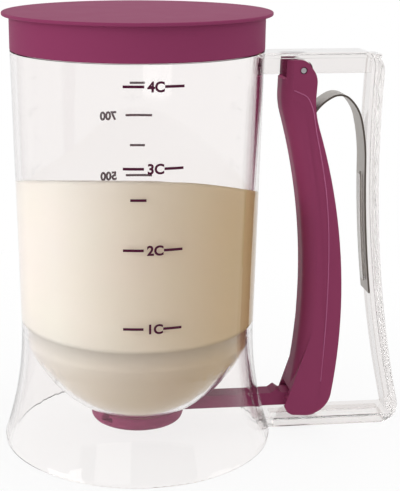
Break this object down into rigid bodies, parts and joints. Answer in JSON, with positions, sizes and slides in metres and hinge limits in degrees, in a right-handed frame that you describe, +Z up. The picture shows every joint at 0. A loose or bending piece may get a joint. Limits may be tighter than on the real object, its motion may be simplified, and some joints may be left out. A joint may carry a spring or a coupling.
{
  "type": "batter dispenser",
  "caption": "Clear hand-held batter dispenser: a tapered jug on a flared skirt, a round hopper over a sliding valve, a press-on lid, and a side handle with a sprung trigger.",
  "frame": {"origin": "centre of the round foot, on the plane that it stands on", "axes": "+Z up along the jug's axis, +X from the jug's axis to the handle, +Y away from the side with the cup scale"},
  "size_m": [0.1744, 0.1162, 0.1839],
  "materials": {
    "clear_plastic": "clear, polished",
    "plum_plastic": "semi-gloss, opaque",
    "pin_steel": "bright",
    "spring_steel": "satin strip",
    "seal_rubber": "soft, matt"
  },
  "bodies": {
    "jug": {"jug_shell": "clear_plastic", "hopper_bowl": "clear_plastic", "handle_frame": "clear_plastic", "hinge_pin": "pin_steel", "leaf_spring": "spring_steel"},
    "lid": {"lid": "plum_plastic"},
    "trigger": {"trigger": "plum_plastic"},
    "valve": {"valve_slide": "plum_plastic", "valve_seal": "seal_rubber"}
  },
  "joints": [
    {"name": "trigger_hinge", "type": "hinge", "parent": "jug", "child": "trigger", "pos_m": [0.0678, 0, 0.1597], "axis": [0, -1, 0], "range_deg": [0, 8.5], "stiffness_Nm_per_rad": 2, "springref_deg": -6.88, "deforming": ["leaf_spring"]},
    {"name": "valve_travel", "type": "slide", "parent": "jug", "child": "valve", "axis": [1, 0, 0], "range_m": [0, 0.0219]},
    {"name": "lid_lift", "type": "slide", "parent": "jug", "child": "lid", "axis": [0, 0, 1], "range_m": [0, 0.05]}
  ],
  "couplings": [
    {"joint": "valve_travel", "follows": "trigger_hinge", "m_per_rad": 0.1459}
  ]
}
